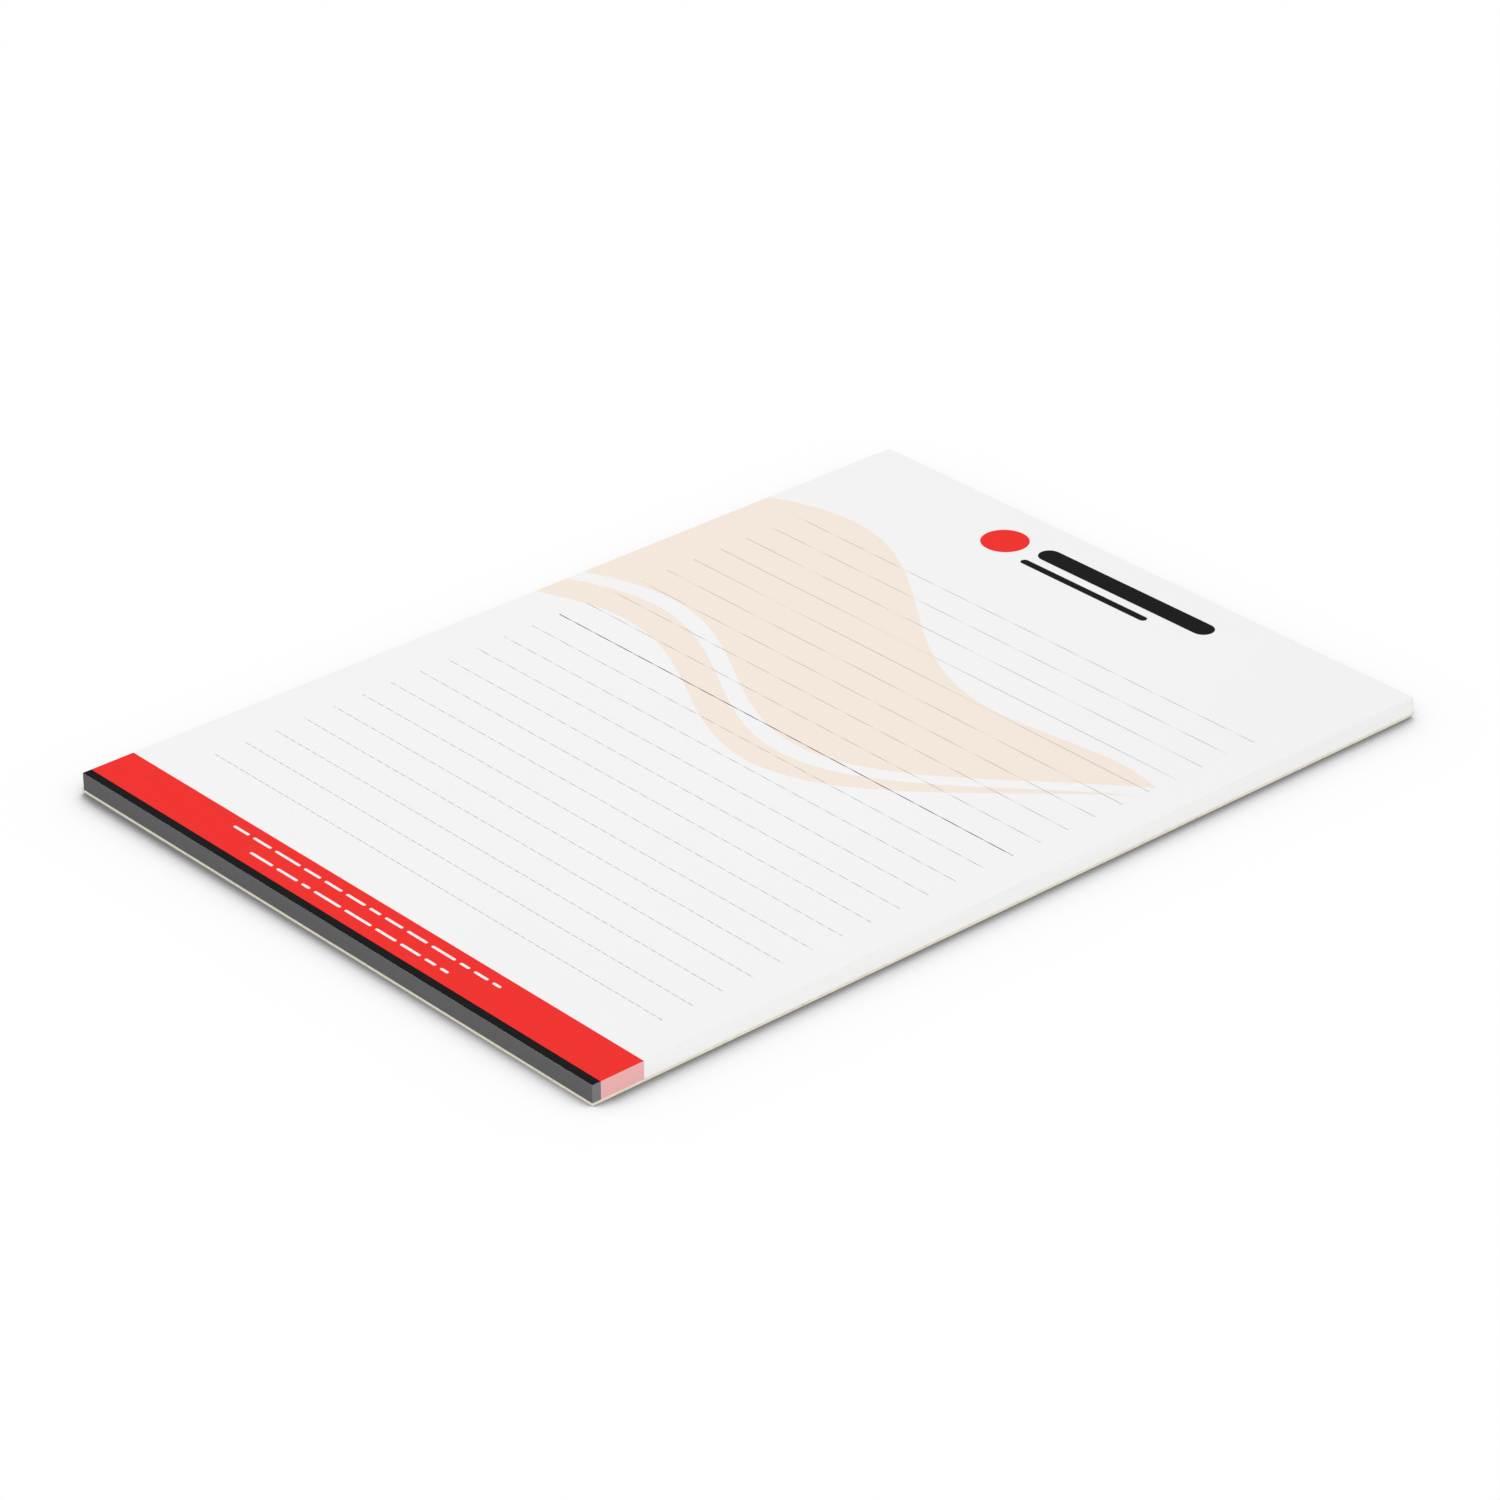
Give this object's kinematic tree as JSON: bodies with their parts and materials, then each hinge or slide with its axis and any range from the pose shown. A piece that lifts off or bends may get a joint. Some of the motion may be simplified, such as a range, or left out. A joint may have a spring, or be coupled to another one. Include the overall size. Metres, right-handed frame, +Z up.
{
  "type": "legal pad",
  "caption": "Glued writing pad: a block of ruled leaves on a stiff backing board, held by a film of padding glue on the head, for tearing off one leaf at a time.",
  "frame": {"origin": "on the surface the pad lies on, under the middle of its outline", "axes": "+X to the reader's right along the ruled lines, +Y from the foot of the page to its glued head, +Z up out of the writing face"},
  "size_m": [0.21, 0.2974, 0.0061],
  "materials": {
    "leaf_paper": "matte",
    "backing_card": "matte",
    "padding_glue": "satin",
    "red_print": "matte",
    "black_print": "matte",
    "tint_print": "matte",
    "rule_print": "matte"
  },
  "bodies": {
    "root": {"leaf_block": "leaf_paper", "backing_board": "backing_card", "glue_film": "padding_glue"}
  },
  "joints": []
}
